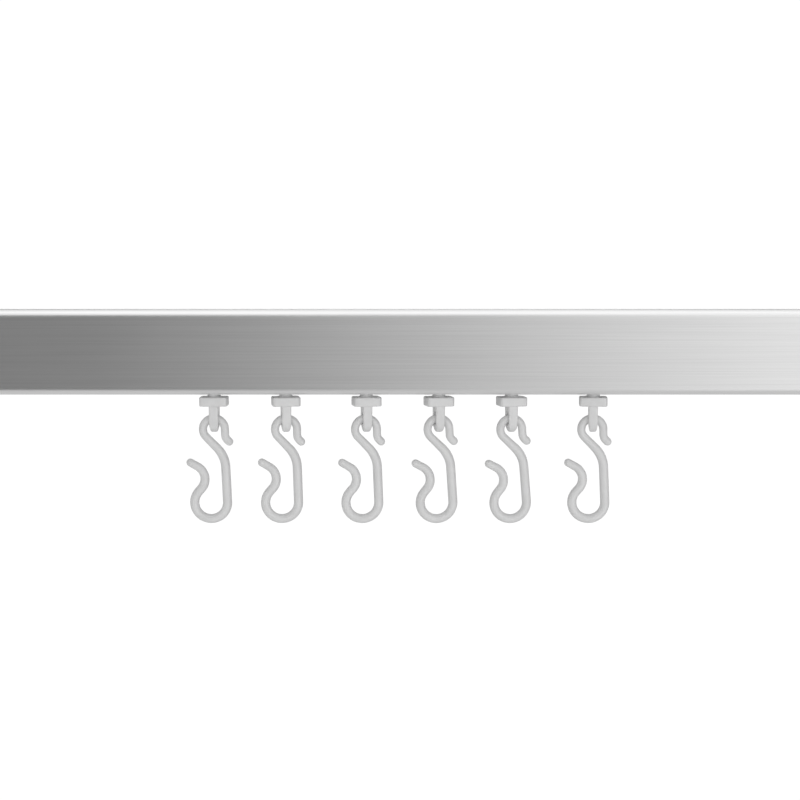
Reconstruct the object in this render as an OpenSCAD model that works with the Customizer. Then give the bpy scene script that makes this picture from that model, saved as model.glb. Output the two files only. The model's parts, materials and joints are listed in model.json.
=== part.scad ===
// Curtain track: an aluminium box rail with six swivel gliders, each carrying a plastic S-hook.
// X runs along the rail, Z is up, and the ceiling plane is z = 0.

/* [Rail] */
// Length of the aluminium rail, mm
rail_length = 600; // [480:10:1200]
// Height of the rail section, mm
rail_height = 25; // [24:0.5:30]
// Depth of the rail section, front to back, mm
rail_depth = 18; // [17:0.5:24]
// Radius of the four long outer edges, mm
rail_edge_radius = 2.5; // [1:0.25:3]
// Width of the glider slot in the underside, mm
glider_slot = 6; // [5:0.25:7]
// Width of the fixing slot in the top, mm
fixing_slot = 8.6; // [8:0.2:9]

/* [Ceiling fixings] */
// Distance between the two ceiling screws, mm
screw_spacing = 400; // [300:10:420]
// Diameter of each ceiling screw hole, mm
screw_hole = 4.5; // [4:0.1:5]
// Thickness of each steel ceiling plate, mm
plate_thickness = 2; // [1.5:0.1:2.5]

/* [Gliders] */
// Position of glider 1 along the rail, mm
glider_1_x = -56; // [-57:0.1:-55]
// Position of glider 2 along the rail, mm
glider_2_x = -34.4; // [-35.5:0.1:-33.5]
// Position of glider 3 along the rail, mm
glider_3_x = -10.1; // [-11:0.1:-9]
// Position of glider 4 along the rail, mm
glider_4_x = 11.7; // [10.8:0.1:12.8]
// Position of glider 5 along the rail, mm
glider_5_x = 33.6; // [32.6:0.1:34.6]
// Position of glider 6 along the rail, mm
glider_6_x = 58.2; // [57:0.1:59]
// How far glider 1 is turned about its stud, degrees
glider_1_turn = 1; // [-8:0.5:8]
// How far glider 2 is turned about its stud, degrees
glider_2_turn = 11; // [0:0.5:14]
// How far glider 3 is turned about its stud, degrees
glider_3_turn = 11.5; // [0:0.5:14]
// How far glider 4 is turned about its stud, degrees
glider_4_turn = 12; // [0:0.5:14]
// How far glider 5 is turned about its stud, degrees
glider_5_turn = 11; // [0:0.5:14]
// How far glider 6 is turned about its stud, degrees
glider_6_turn = -6; // [-8:0.5:8]
// How far hook 1 leans in its own plane, degrees
hook_1_lean = 0.6; // [-4:0.2:4]
// How far hook 2 leans in its own plane, degrees
hook_2_lean = 0; // [-4:0.2:4]
// How far hook 3 leans in its own plane, degrees
hook_3_lean = 0.6; // [-4:0.2:4]
// How far hook 4 leans in its own plane, degrees
hook_4_lean = 2.2; // [-4:0.2:4]
// How far hook 5 leans in its own plane, degrees
hook_5_lean = 3.2; // [-4:0.2:4]
// How far hook 6 leans in its own plane, degrees
hook_6_lean = 1.2; // [-4:0.2:4]
// Length of each glider flange along the rail, mm
flange_length = 8.4; // [7:0.1:9]
// Gap between the rail underside and the glider flange, mm
neck_gap = 1.2; // [1:0.1:2]

/* [Hooks] */
// Radius of the upper loop to the wire centre, mm
upper_loop_r = 3.32; // [3.2:0.02:3.5]
// Radius of the lower loop to the wire centre, mm
lower_loop_r = 4.98; // [4.6:0.02:5.4]
// Length of the straight leg between the loops, mm
hook_leg = 10.5; // [9:0.1:12]
// Wire diameter at the upper loop, mm
wire_upper_d = 2.45; // [2.3:0.05:2.6]
// Wire diameter at the lower loop, mm
wire_lower_d = 2.72; // [2.5:0.02:2.9]

/* [Hidden] */
eps = 0.02;
fine = 96;
small = 48;
over = 1;
ALUMINIUM = [0.78, 0.79, 0.80];
STEEL = [0.62, 0.64, 0.66];
PLASTIC = [0.95, 0.95, 0.94];
CAP = [0.80, 0.80, 0.80];

// Heights, from the ceiling down.
lever_t = 2.2;
lever_gap = 0.1;
rail_top = -(plate_thickness + lever_t + 2 * lever_gap);
rail_bottom = rail_top - rail_height;
rail_mid_z = (rail_top + rail_bottom) / 2;

// Walls and chambers of the rail section.
top_lip = 1.8;
top_channel_h = 4.2;
web = 1.4;
bottom_lip = 1.6;
glider_channel_h = 6.5;
side_wall = 1.7;
fixing_channel_w = 13.4;
glider_channel_w = 13.4;
top_channel_roof = rail_top - top_lip;
top_channel_floor = top_channel_roof - top_channel_h;
hollow_top = top_channel_floor - web;
glider_channel_floor = rail_bottom + bottom_lip;
glider_channel_top = glider_channel_floor + glider_channel_h;
hollow_bottom = glider_channel_top + web;
hollow_h = hollow_top - hollow_bottom;
hollow_w = rail_depth - 2 * side_wall;

// End caps.
cap_t = 3;
cap_clear = 0.12;
spigot_len = 12;
tongue_len = 8;

// Ceiling fixings.
plate_l = 32;
plate_w = 18;
plate_r = 3;
screw_to_pivot = 14;
plate_shift = -7;
rivet_d = 4;
rivet_head_d = 7;
rivet_head_t = 1.2;
lever_bore_d = 4.2;
tee_d = 12.6;
tee_w = 7.4;
tee_t = 1.6;
shank_d = 8;
lever_hub_d = 15;
lever_len = 24;
lever_w = 8;

lever_z = rail_top + lever_gap;
tee_top = top_channel_roof - lever_gap;
rivet_head_top = tee_top - tee_t - lever_gap;

// Gliders.
runner_l = 10;
runner_w = 12.6;
runner_h = 4.2;
runner_r = 1.2;
runner_bore_d = 4.0;
runner_foot_d = 5.4;
runner_foot_rise = 0.2;
runner_clear = 0.12;
runner_z = glider_channel_floor + runner_clear;
stud_d = 3.8;
stud_head_d = 5.2;
stud_head_h = 1.1;
stud_tip_d = 3.4;
stud_head_z = runner_z + runner_h + runner_clear;
split_w = 0.7;
flange_w = 6.5;
flange_h = 2.8;
flange_r = 0.8;
flange_edge = 0.35;
flange_top = rail_bottom - neck_gap;
flange_bottom = flange_top - flange_h;
stem_t = 2.8;
stem_foot_t = 2.1;
stem_taper_h = 2.8;
stem_w = 5.0;
stem_len = 7.9;
stem_bottom = flange_bottom - stem_len;
eye_drop = 3.65;
eye_z = flange_bottom - eye_drop;
eye_d = 3.7;
eye_mouth_d = 4.3;
eye_mouth_t = 0.45;
eye_throat_d = 3.6;

// Hooks: the wire hangs on the bottom of the eye.
hook_clear = 0.15;
ru = wire_upper_d / 2;
rl = wire_lower_d / 2;
hook_shift = 0.2;
hook_2_shift = 0;
wire_inner_r = upper_loop_r - ru;
wire_reach = stem_t / 2 - eye_mouth_t + hook_shift;
wire_sag = wire_inner_r - sqrt(pow(wire_inner_r, 2) - pow(wire_reach, 2));
wire_z = eye_z - eye_d / 2 + ru + wire_sag + hook_clear;
loop_turn = 133.4;
shoulder_len = 4.7;
knee_r = 9.1;
knee_turn = 41.8;
lower_turn = 223.5;
waist_len = 1.35;
bump_r = 4.36;
bump_turn = 101;
arm_len = 2.5;
tail_len = 1.65;
tail_r = 2.35;
tail_turn = 44.5;
tail_end = 0.75;
seam = 0.08;
hook_share = 0.4;
bead = 0.03;

// One step of the wire line: [x, z, heading in degrees].
function go(p, len) = [p[0] + len * cos(p[2]), p[1] + len * sin(p[2]), p[2]];
function side(a) = a < 0 ? -1 : 1;
function centre(p, r, a) = [p[0] - side(a) * r * sin(p[2]), p[1] + side(a) * r * cos(p[2])];
function turn(p, r, a) = [
    centre(p, r, a)[0] + side(a) * r * sin(p[2] + a),
    centre(p, r, a)[1] - side(a) * r * cos(p[2] + a),
    p[2] + a
];

top_left = [0, 0, 180];
shoulder_from = turn(top_left, upper_loop_r, loop_turn);
shoulder_to = go(shoulder_from, shoulder_len);
leg_from = turn(shoulder_to, knee_r, -knee_turn);
leg_to = go(leg_from, hook_leg);
waist_from = turn(leg_to, lower_loop_r, -lower_turn);
waist_to = go(waist_from, waist_len);
arm_from = turn(waist_to, bump_r, bump_turn);
loop_from = [upper_loop_r, -upper_loop_r, 90];
tail_from = [upper_loop_r, -upper_loop_r, -90];
tail_to = go(tail_from, tail_len);
flick_from = turn(tail_to, tail_r, tail_turn);

// A rectangle with rounded corners, made from squares and circles.
module round_rect(w, h, r) {
    square([w - 2 * r, h], center = true);
    square([w, h - 2 * r], center = true);
    for (sx = [-1, 1])
        for (sy = [-1, 1])
            translate([sx * (w / 2 - r), sy * (h / 2 - r)])
                circle(r = r, $fn = small);
}

// The rail section, drawn with Y across and Z up.
module rail_section() {
    difference() {
        translate([0, rail_mid_z])
            round_rect(rail_depth, rail_height, rail_edge_radius);
        translate([-fixing_channel_w / 2, top_channel_floor])
            square([fixing_channel_w, top_channel_h]);
        translate([-fixing_slot / 2, top_channel_roof - eps])
            square([fixing_slot, top_lip + 2 * eps]);
        translate([-hollow_w / 2, hollow_bottom])
            square([hollow_w, hollow_h]);
        translate([-glider_channel_w / 2, glider_channel_floor])
            square([glider_channel_w, glider_channel_h]);
        translate([-glider_slot / 2, rail_bottom - eps])
            square([glider_slot, bottom_lip + 2 * eps]);
    }
}

// Draws a Y-Z outline along X, from x0 over a length.
module along_x(x0, len) {
    translate([x0, 0, 0])
        rotate([90, 0, 90])
            linear_extrude(height = len)
                children();
}

module rail() {
    color(ALUMINIUM)
        along_x(-rail_length / 2, rail_length)
            rail_section();
}

module end_cap(s) {
    x_face = rail_length / 2 + cap_clear;
    color(CAP)
        mirror([s < 0 ? 1 : 0, 0, 0]) {
            along_x(x_face, cap_t)
                translate([0, rail_mid_z])
                    round_rect(rail_depth, rail_height, rail_edge_radius);
            along_x(x_face - spigot_len, spigot_len + eps)
                translate([0, (hollow_top + hollow_bottom) / 2])
                    square([hollow_w - 2 * cap_clear, hollow_h - 2 * cap_clear], center = true);
            along_x(x_face - tongue_len, tongue_len + eps)
                translate([0, glider_channel_floor + glider_channel_h / 2])
                    square([glider_channel_w - 2 * cap_clear, glider_channel_h - 2 * cap_clear],
                        center = true);
        }
}

// Places a ceiling fixing at its pivot, mirrored for the left end.
module at_pivot(s) {
    mirror([s < 0 ? 1 : 0, 0, 0])
        translate([screw_spacing / 2 - screw_to_pivot, 0, 0])
            children();
}

module ceiling_plate(s) {
    color(STEEL)
        at_pivot(s)
            difference() {
                translate([screw_to_pivot + plate_shift, 0, -plate_thickness])
                    linear_extrude(height = plate_thickness)
                        round_rect(plate_l, plate_w, plate_r);
                translate([screw_to_pivot, 0, -plate_thickness - eps])
                    cylinder(d = screw_hole, h = plate_thickness + 2 * eps, $fn = small);
                translate([0, 0, -plate_thickness - eps])
                    cylinder(d = rivet_d + eps, h = plate_thickness + 2 * eps, $fn = small);
            }
}

// The rivet pins the lever to the plate. Its head sits inside the fixing channel.
module cam_rivet(s) {
    color(STEEL)
        at_pivot(s) {
            translate([0, 0, rivet_head_top - eps])
                cylinder(d = rivet_d, h = eps - rivet_head_top, $fn = small);
            translate([0, 0, rivet_head_top - rivet_head_t])
                cylinder(d = rivet_head_d, h = rivet_head_t, $fn = small);
        }
}

// The lever turns a T-shaped foot under the lips of the fixing slot.
module cam_lever(s) {
    color(STEEL)
        at_pivot(s)
            difference() {
                union() {
                    translate([0, 0, lever_z])
                        cylinder(d = lever_hub_d, h = lever_t, $fn = fine);
                    translate([-lever_len, -lever_w / 2, lever_z])
                        cube([lever_len, lever_w, lever_t]);
                    translate([-lever_len, 0, lever_z])
                        cylinder(d = lever_w, h = lever_t, $fn = small);
                    translate([0, 0, tee_top - eps])
                        cylinder(d = shank_d, h = lever_z - tee_top + 2 * eps, $fn = small);
                    intersection() {
                        translate([0, 0, tee_top - tee_t])
                            cylinder(d = tee_d, h = tee_t, $fn = fine);
                        translate([-tee_w / 2, -tee_d / 2, tee_top - tee_t - eps])
                            cube([tee_w, tee_d, tee_t + 2 * eps]);
                    }
                }
                translate([0, 0, tee_top - tee_t - eps])
                    cylinder(d = lever_bore_d, h = lever_z + lever_t - tee_top + tee_t + 2 * eps,
                        $fn = small);
            }
}

module runner(x) {
    color(PLASTIC)
        translate([x, 0, runner_z])
            difference() {
                union() {
                    linear_extrude(height = runner_h)
                        round_rect(runner_l, runner_w, runner_r);
                    translate([0, 0, runner_foot_rise - bottom_lip - runner_clear])
                        cylinder(d = runner_foot_d, h = bottom_lip + runner_clear, $fn = small);
                }
                translate([0, 0, -bottom_lip - over])
                    cylinder(d = runner_bore_d, h = runner_h + bottom_lip + 2 * over, $fn = small);
            }
}

// Places a glider's swivel piece or hook: at x along the rail, turned by a.
module turned(x, a) {
    translate([x, 0, 0])
        rotate([0, 0, a])
            children();
}

// The flange has round corners and a small bevel round its upper and lower rims.
module flange() {
    translate([0, 0, flange_bottom + flange_edge])
        linear_extrude(height = flange_h - 2 * flange_edge)
            round_rect(flange_length, flange_w, flange_r);
    translate([0, 0, flange_bottom])
        linear_extrude(height = flange_h)
            round_rect(flange_length - 2 * flange_edge, flange_w - 2 * flange_edge,
                flange_r - flange_edge / 2);
}

// The stem seen from the side: a strap with a round foot.
module stem_side() {
    translate([-stem_w / 2, stem_bottom + stem_w / 2])
        square([stem_w, stem_len - stem_w / 2 + eps]);
    translate([0, stem_bottom + stem_w / 2])
        circle(d = stem_w, $fn = fine);
}

// The stem seen along the front: straight, then narrower to its foot.
module stem_front() {
    polygon([[-stem_t / 2, flange_bottom + eps], [-stem_t / 2, stem_bottom + stem_taper_h],
        [-stem_foot_t / 2, stem_bottom - eps], [stem_foot_t / 2, stem_bottom - eps],
        [stem_t / 2, stem_bottom + stem_taper_h], [stem_t / 2, flange_bottom + eps]]);
}

module eye_stem() {
    difference() {
        intersection() {
            along_x(-stem_t, 2 * stem_t)
                stem_side();
            translate([0, stem_w, 0])
                rotate([90, 0, 0])
                    linear_extrude(height = 2 * stem_w)
                        stem_front();
        }
        translate([-stem_t, 0, eye_z])
            rotate([0, 90, 0])
                cylinder(d = eye_d, h = 2 * stem_t, $fn = fine);
        for (sx = [-1, 1])
            translate([sx * stem_t / 2, 0, eye_z])
                rotate([0, -sx * 90, 0])
                    translate([0, 0, -eps])
                        cylinder(d1 = eye_mouth_d, d2 = eye_throat_d, h = eye_mouth_t + eps,
                            $fn = fine);
    }
}

module eye(x, a) {
    color(PLASTIC)
        turned(x, a) {
            flange();
            eye_stem();
            difference() {
                union() {
                    translate([0, 0, flange_top - eps])
                        cylinder(d = stud_d, h = stud_head_z - flange_top + 2 * eps, $fn = small);
                    translate([0, 0, stud_head_z])
                        cylinder(d1 = stud_head_d, d2 = stud_tip_d, h = stud_head_h, $fn = small);
                }
                translate([-split_w / 2, -stud_head_d, stud_head_z - runner_h])
                    cube([split_w, 2 * stud_head_d, runner_h + stud_head_h + over]);
            }
        }
}

// An arc of the hook wire from p, turning by a with radius r. It stops just short at both ends.
module wire_arc(p, r, a, wr) {
    c = centre(p, r, a);
    trim = seam / r * 180 / PI;
    start = a < 0 ? p[2] + a + 90 : p[2] - 90;
    translate([c[0], 0, c[1]])
        rotate([90, 0, 0])
            rotate([0, 0, start + trim])
                rotate_extrude(angle = abs(a) - 2 * trim, $fn = fine)
                    translate([r, 0])
                        circle(r = wr, $fn = small);
}

// A straight of the hook wire from p, its radius going from r1 to r2.
module wire_line(p, len, r1, r2) {
    translate([p[0], 0, p[1]])
        rotate([0, 90 - p[2], 0])
            translate([0, 0, seam])
                cylinder(r1 = r1, r2 = r2, h = len - 2 * seam, $fn = small);
}

// The last straight of the wire from p, ending in a dome.
module wire_tip(p, len, r1, r2) {
    translate([p[0], 0, p[1]])
        rotate([0, 90 - p[2], 0])
            rotate_extrude($fn = small) {
                polygon([[0, seam], [r1, seam], [r2, len], [0, len]]);
                translate([0, len])
                    intersection() {
                        circle(r = r2, $fn = small);
                        square(r2);
                    }
            }
}

// Joins two stretches of wire: a ball a hair wider than the wire.
module wire_joint(p, wr) {
    translate([p[0], 0, p[1]])
        sphere(r = wr + bead, $fn = small);
}

module hook(x, a, lean, shift) {
    color(PLASTIC)
        turned(x, a)
            translate([-shift, 0, wire_z])
                rotate([0, -lean, 0])
                    hook_wire();
}

// The wire of one hook, hanging from its highest point at the origin.
module hook_wire() {
    wire_arc(loop_from, upper_loop_r, 90 + loop_turn, ru);
    wire_joint(shoulder_from, ru);
    wire_line(shoulder_from, shoulder_len, ru, rl);
    wire_joint(shoulder_to, rl);
    wire_arc(shoulder_to, knee_r, -knee_turn, rl);
    wire_joint(leg_from, rl);
    wire_line(leg_from, hook_leg, rl, rl);
    wire_joint(leg_to, rl);
    wire_arc(leg_to, lower_loop_r, -lower_turn, rl);
    wire_joint(waist_from, rl);
    wire_line(waist_from, waist_len, rl, rl);
    wire_joint(waist_to, rl);
    wire_arc(waist_to, bump_r, bump_turn, rl);
    wire_joint(arm_from, rl);
    wire_tip(arm_from, arm_len, rl, ru);
    wire_joint(loop_from, ru);
    wire_line(tail_from, tail_len, ru, ru);
    wire_joint(tail_to, ru);
    wire_arc(tail_to, tail_r, tail_turn, ru);
    wire_joint(flick_from, ru);
    wire_tip(flick_from, tail_end, ru, ru);
}

rail();
end_cap(-1);  // end_cap_left
end_cap(1);  // end_cap_right
ceiling_plate(-1);  // ceiling_plate_left
ceiling_plate(1);  // ceiling_plate_right
cam_rivet(-1);  // cam_rivet_left
cam_rivet(1);  // cam_rivet_right
cam_lever(-1);  // cam_lever_left
cam_lever(1);  // cam_lever_right
runner(glider_1_x);  // runner_1
runner(glider_2_x);  // runner_2
runner(glider_3_x);  // runner_3
runner(glider_4_x);  // runner_4
runner(glider_5_x);  // runner_5
runner(glider_6_x);  // runner_6
eye(glider_1_x, glider_1_turn);  // eye_1
eye(glider_2_x, glider_2_turn);  // eye_2
eye(glider_3_x, glider_3_turn);  // eye_3
eye(glider_4_x, glider_4_turn);  // eye_4
eye(glider_5_x, glider_5_turn);  // eye_5
eye(glider_6_x, glider_6_turn);  // eye_6
hook(glider_1_x, hook_share * glider_1_turn, hook_1_lean, hook_shift);  // hook_1
hook(glider_2_x, hook_share * glider_2_turn, hook_2_lean, hook_2_shift);  // hook_2
hook(glider_3_x, hook_share * glider_3_turn, hook_3_lean, hook_shift);  // hook_3
hook(glider_4_x, hook_share * glider_4_turn, hook_4_lean, hook_shift);  // hook_4
hook(glider_5_x, hook_share * glider_5_turn, hook_5_lean, hook_shift);  // hook_5
hook(glider_6_x, hook_share * glider_6_turn, hook_6_lean, hook_shift);  // hook_6
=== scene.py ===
import json
import math
import bpy
import bmesh
from mathutils import Matrix, Vector


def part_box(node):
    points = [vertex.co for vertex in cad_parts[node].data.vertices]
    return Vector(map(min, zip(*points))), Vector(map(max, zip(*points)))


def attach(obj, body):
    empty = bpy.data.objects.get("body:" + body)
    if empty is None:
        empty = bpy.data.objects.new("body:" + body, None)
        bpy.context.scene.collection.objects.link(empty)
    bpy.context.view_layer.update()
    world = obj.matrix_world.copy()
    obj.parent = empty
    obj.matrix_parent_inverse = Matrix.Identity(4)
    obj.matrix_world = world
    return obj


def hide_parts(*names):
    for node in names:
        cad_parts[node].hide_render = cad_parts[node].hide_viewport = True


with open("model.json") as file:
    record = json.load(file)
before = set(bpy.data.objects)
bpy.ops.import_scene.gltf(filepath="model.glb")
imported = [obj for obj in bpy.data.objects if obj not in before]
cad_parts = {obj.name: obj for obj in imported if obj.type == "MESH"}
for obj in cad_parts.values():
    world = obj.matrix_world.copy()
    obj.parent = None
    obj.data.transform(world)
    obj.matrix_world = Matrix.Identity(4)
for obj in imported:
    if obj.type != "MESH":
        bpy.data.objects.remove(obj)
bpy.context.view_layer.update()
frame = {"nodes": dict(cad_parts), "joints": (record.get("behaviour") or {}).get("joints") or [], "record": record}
MM = 0.001

# ---------------------------------------------------------------- camera
# The camera stands in front of the middle of the rail, a little above its top, looking down.
RAIL_LOW, RAIL_HIGH = (Vector(v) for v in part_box("rail"))
CAMERA_DISTANCE = 0.400
CAMERA_RISE = 0.012
CAMERA_PITCH = math.radians(5.603)
CAMERA_LENS = 60.03
SENSOR_WIDTH = 36.0

camera_data = bpy.data.cameras.new("camera")
camera_data.lens = CAMERA_LENS
camera_data.sensor_width = SENSOR_WIDTH
camera_data.clip_start = 0.01
camera_data.clip_end = 30.0
camera = bpy.data.objects.new("camera", camera_data)
camera.location = (0.0, -CAMERA_DISTANCE, RAIL_HIGH.z + CAMERA_RISE)
camera.rotation_euler = (math.radians(90) - CAMERA_PITCH, 0.0, 0.0)
bpy.context.scene.collection.objects.link(camera)
bpy.context.scene.camera = camera
bpy.context.scene.view_settings.view_transform = "Standard"


# ---------------------------------------------------------------- node helpers
class Nodes:
    """Builds a node tree with short calls."""

    def __init__(self, name, world=False):
        owners = bpy.data.worlds if world else bpy.data.materials
        self.owner = owners.new(name)
        self.owner.use_nodes = True
        self.tree = self.owner.node_tree
        self.tree.nodes.clear()

    def add(self, kind):
        return self.tree.nodes.new(kind)

    def link(self, output, node, socket):
        self.tree.links.new(output, node.inputs[socket])

    def put(self, node, socket, value):
        """Sets a socket to a value, or links it to another node's output."""
        if hasattr(value, "is_output"):
            self.link(value, node, socket)
        else:
            node.inputs[socket].default_value = value

    def noise(self, scale, detail=2.0, stretch=(1, 1, 1), roughness=0.5):
        """Noise of about 0 to 1, with scale times stretch cells per metre along each axis."""
        coords = self.add("ShaderNodeTexCoord")
        mapping = self.add("ShaderNodeMapping")
        self.put(mapping, "Vector", coords.outputs["Object"])
        self.put(mapping, "Scale", stretch)
        noise = self.add("ShaderNodeTexNoise")
        self.put(noise, "Vector", mapping.outputs["Vector"])
        self.put(noise, "Scale", scale)
        self.put(noise, "Detail", detail)
        self.put(noise, "Roughness", roughness)
        return noise.outputs["Fac"]

    def ramp(self, fac, low, high, start=0.3, end=0.7):
        """Goes from low to high as fac goes from start to end."""
        node = self.add("ShaderNodeMapRange")
        self.put(node, "Value", fac)
        self.put(node, "From Min", start)
        self.put(node, "From Max", end)
        self.put(node, "To Min", low)
        self.put(node, "To Max", high)
        return node.outputs["Result"]

    def combine(self, operation, a, b):
        node = self.add("ShaderNodeMath")
        node.operation = operation
        self.put(node, 0, a)
        self.put(node, 1, b)
        return node.outputs[0]

    def mix(self, fac, a, b):
        node = self.add("ShaderNodeMix")
        node.data_type = "RGBA"
        self.put(node, 0, fac)
        self.put(node, 6, a)
        self.put(node, 7, b)
        return node.outputs[2]

    def bump(self, height, distance, strength=1.0, normal=None):
        node = self.add("ShaderNodeBump")
        self.put(node, "Height", height)
        self.put(node, "Distance", distance)
        self.put(node, "Strength", strength)
        if normal is not None:
            self.put(node, "Normal", normal)
        return node.outputs["Normal"]

    def surface(self, **sockets):
        """Ends the material with one shader, whose sockets are named with _ for a space."""
        shader = self.add("ShaderNodeBsdfPrincipled")
        for key, value in sockets.items():
            self.put(shader, key.replace("_", " "), value)
        out = self.add("ShaderNodeOutputMaterial")
        self.link(shader.outputs[0], out, "Surface")
        return self.owner


def grey(value):
    return (value, value, value, 1.0)


# ---------------------------------------------------------------- materials
def brushed_aluminium():
    """Satin aluminium with long fine streaks along X."""
    n = Nodes("aluminium_satin")
    fine = n.noise(1.0, 3.0, (14.0, 2600.0, 2600.0), 0.6)
    broad = n.noise(1.0, 2.0, (5.0, 420.0, 420.0), 0.5)
    cloud = n.noise(9.0, 3.0)
    colour = n.mix(n.ramp(fine, 0.0, 1.0), grey(0.76), grey(0.83))
    rough = n.ramp(cloud, 0.33, 0.39)
    normal = n.bump(fine, 0.000012, 1.0)
    normal = n.bump(broad, 0.00001, 1.0, normal)
    return n.surface(Base_Color=colour, Metallic=1.0, Roughness=rough, Normal=normal)


def white_acetal():
    """Moulded white plastic that lets a little light through."""
    n = Nodes("plastic_white")
    cloud = n.noise(260.0, 3.0)
    grain = n.noise(5200.0, 2.0)
    colour = n.mix(n.ramp(cloud, 0.0, 1.0), grey(0.80), grey(0.84))
    rough = n.ramp(cloud, 0.34, 0.44)
    normal = n.bump(grain, 0.000012, 0.6)
    return n.surface(Base_Color=colour, Roughness=rough, Normal=normal, Subsurface_Weight=0.12,
                     Subsurface_Scale=0.0012, Subsurface_Radius=(1.0, 1.0, 1.0))


def grey_plastic():
    """Matt grey plastic with a fine moulded grain."""
    n = Nodes("plastic_grey")
    grain = n.noise(3800.0, 3.0)
    cloud = n.noise(120.0, 2.0)
    colour = n.mix(n.ramp(cloud, 0.0, 1.0), grey(0.44), grey(0.48))
    normal = n.bump(grain, 0.00004, 0.8)
    return n.surface(Base_Color=colour, Roughness=0.55, Normal=normal)


def zinc_steel():
    """Steel with a cloudy zinc plating."""
    n = Nodes("steel_zinc")
    cloud = n.noise(90.0, 4.0)
    grain = n.noise(2400.0, 2.0)
    colour = n.mix(n.ramp(cloud, 0.0, 1.0), (0.58, 0.59, 0.61, 1), (0.66, 0.67, 0.68, 1))
    rough = n.ramp(cloud, 0.28, 0.42)
    normal = n.bump(grain, 0.00001, 0.8)
    return n.surface(Base_Color=colour, Metallic=1.0, Roughness=rough, Normal=normal)


MATERIALS = {
    "aluminium_satin": brushed_aluminium(),
    "plastic_white": white_acetal(),
    "plastic_grey": grey_plastic(),
    "steel_zinc": zinc_steel(),
}
SLOT_OF = {s["node"]: s["material_slot"] for s in frame["record"]["subparts"]}
for name, obj in frame["nodes"].items():
    material = MATERIALS[SLOT_OF[name]]
    if not obj.material_slots:
        obj.data.materials.append(material)
    for slot in obj.material_slots:
        slot.material = material


# ---------------------------------------------------------------- mesh helpers
def make_object(name, bm, material, smooth_angle):
    """Turns a bmesh into a named piece with one material, smooth up to an angle in degrees."""
    bmesh.ops.recalc_face_normals(bm, faces=bm.faces)
    mesh = bpy.data.meshes.new(name)
    bm.to_mesh(mesh)
    bm.free()
    mesh.materials.append(material)
    mesh.shade_smooth()
    mesh.set_sharp_from_angle(angle=math.radians(smooth_angle))
    obj = bpy.data.objects.new(name, mesh)
    bpy.context.scene.collection.objects.link(obj)
    return obj


def loft(bm, rings):
    """Joins rings of points, each with the same count, into a closed skin."""
    made = [[bm.verts.new(p) for p in ring] for ring in rings]
    count = len(made[0])
    for low, high in zip(made, made[1:]):
        for k in range(count):
            bm.faces.new((low[k], low[(k + 1) % count], high[(k + 1) % count], high[k]))
    bm.faces.new(list(reversed(made[0])))
    bm.faces.new(made[-1])


CORNER_STEPS = 6
SMALLEST_CORNER = 0.05 * MM


def quarter(steps):
    """Angles from 0 to a right angle, in radians."""
    return [math.radians(90 * k / steps) for k in range(steps + 1)]


def rounded_rect(width, depth, radius):
    """Points round a rectangle with rounded corners, counter-clockwise."""
    points = []
    corners = ((1, 1, 0), (-1, 1, 90), (-1, -1, 180), (1, -1, 270))
    for sx, sy, start in corners:
        cx, cy = sx * (width / 2 - radius), sy * (depth / 2 - radius)
        for k in range(CORNER_STEPS + 1):
            a = math.radians(start + 90 * k / CORNER_STEPS)
            points.append((cx + radius * math.cos(a), cy + radius * math.sin(a)))
    return points


def pillow_rings(width, depth, radius, low, high, edge, steps=4):
    """Rings of a slab whose rims are rounded with radius edge, from low to high."""
    arc = [(edge * (1 - math.sin(a)), edge * (1 - math.cos(a))) for a in quarter(steps)]
    levels = [(inset, low + rise) for inset, rise in arc]
    levels += [(inset, high - rise) for inset, rise in reversed(arc)]
    rings = []
    for inset, level in levels:
        corner = max(radius - inset, SMALLEST_CORNER)
        outline = rounded_rect(width - 2 * inset, depth - 2 * inset, corner)
        rings.append([(x, y, level) for x, y in outline])
    return rings


def place(bm, matrix):
    bmesh.ops.transform(bm, matrix=matrix, verts=bm.verts)


# ---------------------------------------------------------------- S-hooks
JOINTS = {j["name"]: j for j in frame["joints"]}
GLIDERS = (1, 2, 3, 4, 5, 6)
# How each glider is turned about its stud, in degrees, and the share of it that its hook follows.
TURN = {1: 1.0, 2: 11.0, 3: 11.5, 4: 12.0, 5: 11.0, 6: -6.0}
HOOK_SHARE = 0.4
# How each hook hangs: its loop's shift along -X in millimetres, and its lean in degrees.
HOOK_SHIFT = {1: 0.2, 2: 0.0, 3: 0.2, 4: 0.2, 5: 0.2, 6: 0.2}
LEAN = {1: 0.6, 2: 0.0, 3: 0.6, 4: 2.2, 5: 3.2, 6: 1.2}

# The hook's wire in millimetres and degrees. From the right of the upper loop, the body goes up
# and over and down to the arm's tip, and the tail goes down to its flick. The wire's radius
# swells from the upper loop to the lower one.
UPPER_LOOP = 3.32
LOWER_LOOP = 4.98
UPPER_WIRE = 1.225
LOWER_WIRE = 1.36
SWELL_LENGTH = 8.0
TAPER_LENGTH = 8.5
UPPER_SWEEP = 223.4
TAIL = (("line", 1.65), ("arc", 2.35, 44.5), ("line", 0.75))
BODY = (("arc", UPPER_LOOP, UPPER_SWEEP), ("line", 4.7), ("arc", 9.1, -41.8), ("line", 10.5),
        ("arc", LOWER_LOOP, -223.5), ("line", 1.35), ("arc", 4.36, 101.0), ("line", 2.5))
TRACE_STEP = 0.3


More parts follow.
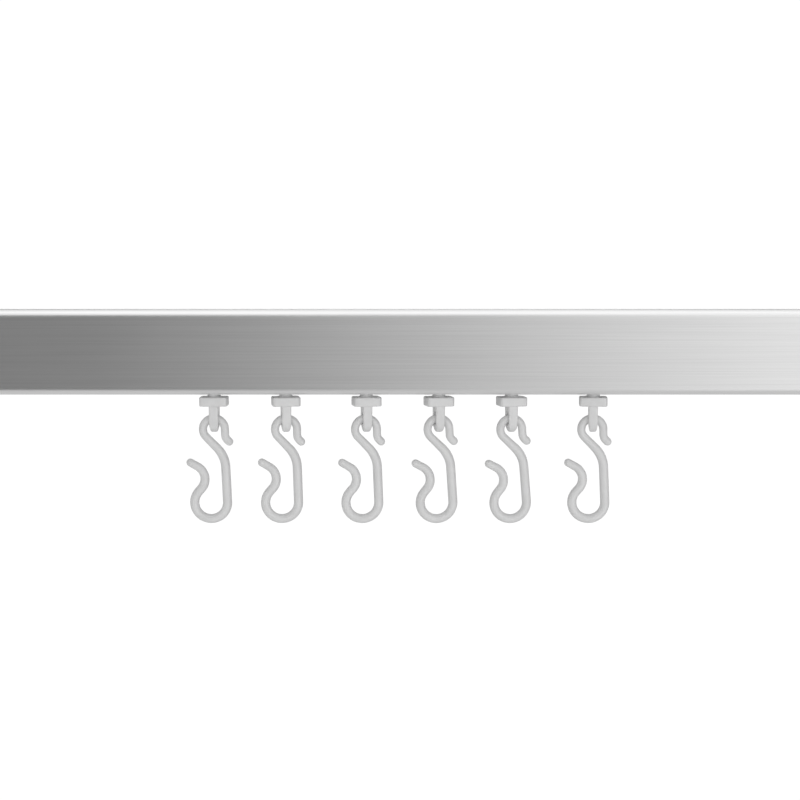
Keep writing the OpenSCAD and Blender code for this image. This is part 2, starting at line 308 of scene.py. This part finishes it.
def trace(start, heading, moves):
    """Follows lines and arcs; gives points as (x, z, heading in radians)."""
    x, z, h = start[0], start[1], math.radians(heading)
    path = [(x, z, h)]
    for move in moves:
        if move[0] == "line":
            count = max(2, int(move[1] / TRACE_STEP))
            for k in range(1, count + 1):
                t = move[1] * k / count
                path.append((x + t * math.cos(h), z + t * math.sin(h), h))
        else:
            radius, angle = move[1], math.radians(move[2])
            side = 1 if angle > 0 else -1
            cx, cz = x - side * radius * math.sin(h), z + side * radius * math.cos(h)
            count = max(4, int(abs(angle) * radius / TRACE_STEP))
            for k in range(1, count + 1):
                a = h + angle * k / count
                path.append((cx + side * radius * math.sin(a), cz - side * radius * math.cos(a), a))
        x, z, h = path[-1]
    return path


def ease(t):
    """Goes smoothly from 0 to 1 as t does."""
    t = min(1.0, max(0.0, t))
    return t * t * (3 - 2 * t)


def swell(s, total, tail):
    """How much of the wire's swelling there is at s along it: none in the upper loop."""
    loop_end = tail + UPPER_LOOP * math.radians(UPPER_SWEEP)
    return ease((s - loop_end) / SWELL_LENGTH) - ease((s - total + TAPER_LENGTH) / TAPER_LENGTH)


RING_POINTS = 28
SEAM_RISE = 0.035
DOME_STEPS = 6
DOME_TIP = 0.35


def wire_ring(x, z, heading, radius, seam):
    """One cross-section of the wire, with the faint parting ridge of its two mould halves."""
    out = []
    for k in range(RING_POINTS):
        a = 2 * math.pi * k / RING_POINTS
        r = radius + (seam if k in (0, RING_POINTS // 2) else 0.0)
        across = r * math.cos(a)
        out.append(((x - across * math.sin(heading)) * MM, r * math.sin(a) * MM,
                    (z + across * math.cos(heading)) * MM))
    return out


def dome(point, radius, side):
    """Rings of the round end of the wire, from its tip to the point; side is -1 at the start."""
    x, z, h = point
    rings = []
    for k in range(DOME_STEPS):
        a = math.radians(90 * (k + DOME_TIP) / (DOME_STEPS + DOME_TIP))
        ahead = side * radius * math.cos(a)
        rings.append(wire_ring(x + ahead * math.cos(h), z + ahead * math.sin(h), h,
                               radius * math.sin(a), 0.0))
    return rings


def distances(path):
    """How far along the path each of its points is."""
    out = [0.0]
    for a, b in zip(path, path[1:]):
        out.append(out[-1] + math.hypot(b[0] - a[0], b[1] - a[1]))
    return out


def hook_mesh():
    """The hook's own mesh, its wire hanging from the origin."""
    tail = trace((UPPER_LOOP, -UPPER_LOOP), -90, TAIL)
    body = trace((UPPER_LOOP, -UPPER_LOOP), 90, BODY)
    path = [(x, z, h + math.pi) for x, z, h in reversed(tail)][:-1] + body
    along = distances(path)
    tail_length = distances(tail)[-1]
    rings = dome(path[0], UPPER_WIRE, -1)
    for (x, z, h), s in zip(path, along):
        share = swell(s, along[-1], tail_length)
        radius = UPPER_WIRE + (LOWER_WIRE - UPPER_WIRE) * share
        rings.append(wire_ring(x, z, h, radius, SEAM_RISE * share))
    rings += reversed(dome(path[-1], UPPER_WIRE, 1))
    bm = bmesh.new()
    loft(bm, rings)
    return bm


for k in GLIDERS:
    pivot = Vector(JOINTS[f"hook_{k}_swing"]["pos_m"])
    turn = Matrix.Rotation(math.radians(TURN[k] * HOOK_SHARE), 4, "Z")
    lean = Matrix.Rotation(-math.radians(LEAN[k]), 4, "Y")
    bm = hook_mesh()
    shift = Matrix.Translation((-HOOK_SHIFT[k] * MM, 0, 0))
    place(bm, Matrix.Translation(pivot) @ turn @ shift @ lean)
    piece = make_object(f"s_hook_{k}", bm, MATERIALS["plastic_white"], 60)
    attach(piece, f"hook_{k}")
    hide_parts(f"hook_{k}")


# ---------------------------------------------------------------- swivel eyes
NECK_GAP = 1.2 * MM
FLANGE_TOP = RAIL_LOW.z - NECK_GAP
FLANGE_LENGTH, FLANGE_WIDTH, FLANGE_HEIGHT = 8.4 * MM, 6.5 * MM, 2.8 * MM
FLANGE_CORNER, FLANGE_RIM = 1.0 * MM, 0.4 * MM
FLANGE_BOTTOM = FLANGE_TOP - FLANGE_HEIGHT
STEM_THICK, STEM_FOOT_THICK, STEM_WIDTH, STEM_LENGTH = 2.8 * MM, 2.1 * MM, 5.0 * MM, 7.9 * MM
STEM_FOOT_END = FLANGE_BOTTOM - STEM_LENGTH
STEM_INTO_FLANGE = 0.6 * MM
STEM_RIM = 0.55 * MM
# The height over which the stem's foot thins, and how far that slope is eased into a curve.
STEM_TAPER = 2.8 * MM
STEM_TAPER_EASE = 0.35
EYE_RADIUS = 1.93 * MM
EYE_LEVEL = FLANGE_BOTTOM - 3.65 * MM
EYE_MOUTH = 0.5 * MM
OUTLINE_POINTS = 64
RIM_STEPS = 5
LONGEST_REACH = 20 * MM
HALVINGS = 40


def stem_half_thickness(z):
    """Half the stem's thickness at a level, narrowing to its foot."""
    t = min(1.0, max(0.0, (z - STEM_FOOT_END) / STEM_TAPER))
    t += STEM_TAPER_EASE * (ease(t) - t)
    return (STEM_FOOT_THICK + (STEM_THICK - STEM_FOOT_THICK) * t) / 2


def inside_stem(y, z):
    """Whether a point of the side view is inside the strap with its round foot."""
    half = STEM_WIDTH / 2
    foot = STEM_FOOT_END + half
    if z > foot:
        return abs(y) < half and z < FLANGE_BOTTOM + STEM_INTO_FLANGE
    return math.hypot(y, z - foot) < half


def stem_reach(dy, dz):
    """How far the stem goes from the eye's centre in one direction, by halving."""
    low, high = 0.0, LONGEST_REACH
    for _ in range(HALVINGS):
        r = (low + high) / 2
        if inside_stem(r * dy, EYE_LEVEL + r * dz):
            low = r
        else:
            high = r
    return low


def stem_section(reach):
    """Distances from the eye's centre, with how far the side sinks there, from rim to eye."""
    room = (reach - EYE_RADIUS) / 2
    rim, mouth = min(STEM_RIM, room), min(EYE_MOUTH, room)
    outer = [(reach - rim * (1 - math.cos(a)), rim * (1 - math.sin(a))) for a in quarter(RIM_STEPS)]
    inner = [(EYE_RADIUS + mouth * (1 - math.sin(a)), mouth * (1 - math.cos(a)))
             for a in quarter(RIM_STEPS)]
    return outer + inner


def stem_side(bm, sign, directions):
    """One side of the stem, as columns of points from its rim to the eye."""
    columns = []
    for dy, dz in directions:
        column = []
        for r, drop in stem_section(stem_reach(dy, dz)):
            y, z = r * dy, EYE_LEVEL + r * dz
            column.append(bm.verts.new((sign * (stem_half_thickness(z) - drop), y, z)))
        columns.append(column)
    for a, b in zip(columns, columns[1:] + columns[:1]):
        for j in range(len(a) - 1):
            bm.faces.new((a[j], b[j], b[j + 1], a[j + 1]))
    return columns


def stem_skin(bm):
    """A strap with a round eye through it, its rims all rounded."""
    turns = [2 * math.pi * (k + 0.5) / OUTLINE_POINTS for k in range(OUTLINE_POINTS)]
    directions = [(math.cos(a), math.sin(a)) for a in turns]
    left = stem_side(bm, -1, directions)
    right = stem_side(bm, 1, directions)
    for k in range(OUTLINE_POINTS):
        n = (k + 1) % OUTLINE_POINTS
        for end in (0, -1):
            bm.faces.new((left[k][end], left[n][end], right[n][end], right[k][end]))


# The stud in millimetres, as radii with heights: above the flange, then below the stud's top.
STUD_ROOT = ((2.5, -0.1), (2.25, 0.12), (2.0, 0.35), (1.9, 0.6))
STUD_HEAD = ((1.9, 1.12), (2.5, 1.02), (2.55, 0.8), (1.75, 0.12), (1.6, 0.01))
STUD_SIDES = 40


def stud_skin(bm, low, high):
    """The stud above the flange: a flared root, a plain shank and a snap head."""
    levels = [(radius, low + rise * MM) for radius, rise in STUD_ROOT]
    levels += [(radius, high - drop * MM) for radius, drop in STUD_HEAD]
    turns = [2 * math.pi * k / STUD_SIDES for k in range(STUD_SIDES)]
    rings = []
    for radius, z in levels:
        rings.append([(radius * MM * math.cos(a), radius * MM * math.sin(a), z) for a in turns])
    loft(bm, rings)


for k in GLIDERS:
    pivot = Vector(JOINTS[f"eye_{k}_swivel"]["pos_m"])
    stud_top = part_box(f"eye_{k}")[1][2]
    turn = Matrix.Translation((pivot.x, 0, 0)) @ Matrix.Rotation(math.radians(TURN[k]), 4, "Z")
    bm = bmesh.new()
    loft(bm, pillow_rings(FLANGE_LENGTH, FLANGE_WIDTH, FLANGE_CORNER, FLANGE_BOTTOM, FLANGE_TOP,
                          FLANGE_RIM))
    stem_skin(bm)
    stud_skin(bm, FLANGE_TOP, stud_top)
    place(bm, turn)
    piece = make_object(f"swivel_eye_{k}", bm, MATERIALS["plastic_white"], 50)
    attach(piece, f"eye_{k}")
    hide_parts(f"eye_{k}")


# ---------------------------------------------------------------- rail
SLOT_HALF = 4.3 * MM
SLOT_RADIUS = 0.6 * MM
SLOT_STEPS = 5
CLOSE = 0.01 * MM


def on_slot_rim(vert):
    """Whether a point of the rail lies on a long rim of its top slot."""
    return abs(vert.co.z - RAIL_HIGH.z) < CLOSE and abs(abs(vert.co.y) - SLOT_HALF) < CLOSE


def rail_mesh():
    """The CAD's rail with the two long rims of its top slot rounded, as an extrusion's are."""
    source = frame["nodes"]["rail"]
    bm = bmesh.new()
    bm.from_mesh(source.data)
    bm.transform(source.matrix_world)
    bmesh.ops.remove_doubles(bm, verts=bm.verts, dist=CLOSE)
    rims = []
    for edge in bm.edges:
        a, b = edge.verts
        if on_slot_rim(a) and on_slot_rim(b) and abs(a.co.y - b.co.y) < CLOSE:
            rims.append(edge)
    bmesh.ops.bevel(bm, geom=rims, offset=SLOT_RADIUS, offset_type="OFFSET", segments=SLOT_STEPS,
                    profile=0.5, affect="EDGES")
    return bm


piece = make_object("rail_extrusion", rail_mesh(), MATERIALS["aluminium_satin"], 30)
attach(piece, "track")
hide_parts("rail")


# ---------------------------------------------------------------- end caps
RAIL_DEPTH = RAIL_HIGH.y - RAIL_LOW.y
RAIL_HEIGHT = RAIL_HIGH.z - RAIL_LOW.z
RAIL_MIDDLE = (RAIL_HIGH.z + RAIL_LOW.z) / 2
RAIL_EDGE = 2.5 * MM
CAP_THICK = 3.0 * MM
CAP_GAP = 0.12 * MM
CAP_RIM = 0.8 * MM
CAP_RIM_STEPS = 5
SPIGOT_CHAMFER = 0.5 * MM
SPIGOT_ROOT = 0.4 * MM
# Each spigot's length and width, and its height with its level above the rail's underside.
SPIGOTS = ((12.0 * MM, 14.36 * MM, 7.86 * MM, 9.62 * MM),
           (8.0 * MM, 13.16 * MM, 6.26 * MM, 1.72 * MM))


def block(bm, x0, x1, width, z0, z1, chamfer):
    """A box along X whose free end at x0 is chamfered."""
    rings = []
    for x, inset in ((x0, chamfer), (x0 + chamfer, 0.0), (x1, 0.0)):
        y = width / 2 - inset
        rings.append([(x, -y, z0 + inset), (x, y, z0 + inset), (x, y, z1 - inset), (x, -y, z1 - inset)])
    loft(bm, rings)


def cap_mesh():
    """The right-hand cap: a plate with a rounded outer rim, and two spigots inside the rail."""
    bm = bmesh.new()
    face = RAIL_HIGH.x + CAP_GAP
    outline = pillow_rings(RAIL_DEPTH, RAIL_HEIGHT, RAIL_EDGE, 0.0, CAP_THICK, CAP_RIM, CAP_RIM_STEPS)
    # The inner side lies flat on the rail's end, so only the outer rim's rings are kept.
    rounded = outline[CAP_RIM_STEPS + 1:]
    rings = [[(face + z, x, y + RAIL_MIDDLE) for x, y, z in ring] for ring in rounded]
    back = [(face, y, z) for _, y, z in rings[0]]
    loft(bm, [back] + rings)
    for reach, width, height, level in SPIGOTS:
        low = RAIL_LOW.z + level
        block(bm, face - reach, face + SPIGOT_ROOT, width, low, low + height, SPIGOT_CHAMFER)
    return bm


for side, name in ((-1, "left"), (1, "right")):
    bm = cap_mesh()
    if side < 0:
        place(bm, Matrix.Scale(-1, 4, (1, 0, 0)))
    piece = make_object(f"moulded_cap_{name}", bm, MATERIALS["plastic_grey"], 35)
    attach(piece, "track")
    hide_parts(f"end_cap_{name}")


# ---------------------------------------------------------------- stage and light
def emissive(name, low, high, start, end):
    """A plain glow that goes from low to high across a card's width."""
    n = Nodes(name)
    coords = n.add("ShaderNodeTexCoord")
    split = n.add("ShaderNodeSeparateXYZ")
    n.put(split, "Vector", coords.outputs["Object"])
    node = n.add("ShaderNodeMapRange")
    node.interpolation_type = "SMOOTHSTEP"
    n.put(node, "Value", split.outputs[0])
    n.put(node, "From Min", start)
    n.put(node, "From Max", end)
    n.put(node, "To Min", low)
    n.put(node, "To Max", high)
    glow = n.add("ShaderNodeEmission")
    n.put(glow, "Color", grey(1))
    n.put(glow, "Strength", node.outputs["Result"])
    out = n.add("ShaderNodeOutputMaterial")
    n.link(glow.outputs[0], out, "Surface")
    return n.owner


def card(name, size, location, rotation, material, camera_sees=True):
    """A flat card of the stage, centred on its place."""
    mesh = bpy.data.meshes.new(name)
    w, h = size[0] / 2, size[1] / 2
    mesh.from_pydata([(-w, -h, 0), (w, -h, 0), (w, h, 0), (-w, h, 0)], [], [(0, 1, 2, 3)])
    mesh.materials.append(material)
    obj = bpy.data.objects.new(name, mesh)
    obj.location = location
    obj.rotation_euler = rotation
    obj.visible_camera = camera_sees
    bpy.context.scene.collection.objects.link(obj)
    return obj


def area_light(name, energy, size, location, target):
    """A rectangular light that faces its target."""
    data = bpy.data.lights.new(name, "AREA")
    data.shape = "RECTANGLE"
    data.size, data.size_y = size
    data.energy = energy
    obj = bpy.data.objects.new(name, data)
    obj.location = location
    aim = Vector(target) - Vector(location)
    obj.rotation_euler = aim.to_track_quat("-Z", "Y").to_euler()
    bpy.context.scene.collection.objects.link(obj)
    return obj


def studio_world(seen, soft, lean, mirror):
    """A white backdrop for the camera. Matt surfaces are lit by a soft sky with strength soft that
    grows along the direction lean; shiny ones see the levels mirror: below, around and overhead."""
    n = Nodes("studio", world=True)
    coords = n.add("ShaderNodeTexCoord")
    split = n.add("ShaderNodeSeparateXYZ")
    n.put(split, "Vector", coords.outputs["Generated"])
    height = split.outputs[2]

    tilt = n.add("ShaderNodeVectorMath")
    tilt.operation = "DOT_PRODUCT"
    n.put(tilt, 0, coords.outputs["Generated"])
    n.put(tilt, 1, lean)
    matt = n.combine("ADD", tilt.outputs["Value"], soft)
    below, around, overhead = mirror
    shiny = n.combine("ADD", n.ramp(height, below, around, start=-0.1, end=0.15),
                      n.ramp(height, 0.0, overhead - around, start=0.72, end=0.94))

    path = n.add("ShaderNodeLightPath")
    lights = []
    for strength in (shiny, matt, seen):
        light = n.add("ShaderNodeBackground")
        n.put(light, "Color", grey(1))
        n.put(light, "Strength", strength)
        lights.append(light.outputs[0])
    shader = lights[0]
    for ray, light in (("Is Diffuse Ray", lights[1]), ("Is Camera Ray", lights[2])):
        mix = n.add("ShaderNodeMixShader")
        n.put(mix, 0, path.outputs[ray])
        n.link(shader, mix, 1)
        n.link(light, mix, 2)
        shader = mix.outputs[0]
    out = n.add("ShaderNodeOutputWorld")
    n.link(shader, out, "Surface")
    return n.owner


BACKDROP = 1.05
FLOOR_Z = -1.1
LEVEL = (0, 0, 0)
UPRIGHT = (math.radians(90), 0, 0)

bpy.context.scene.world = studio_world(seen=BACKDROP, soft=0.375, lean=(0.03, -0.20, -0.12),
                                       mirror=(0.70, 0.92, 1.25))

# Only the camera sees the floor, which is as pale as the backdrop.
floor = card("floor", (14, 14), (0, 0, FLOOR_Z), LEVEL,
             emissive("floor_pale", low=BACKDROP, high=BACKDROP, start=-1, end=1))
floor.visible_diffuse = False
floor.visible_glossy = False
# The rail's face mirrors this card, which is dark at its left and bright at its right.
reflector = card("front_card", (2.6, 2.76), (0.3, -1.2, -0.08), UPRIGHT,
                 emissive("front_glow", low=0.10, high=1.2, start=-0.84, end=0.50),
                 camera_sees=False)
reflector.visible_diffuse = False
# A low, wide light from the front reaches the studs under the rail.
key = area_light("key", energy=4.6, size=(2.4, 0.4), location=(0.1, -1.1, -0.03),
                 target=(0, 0, -0.04))
key.visible_glossy = False
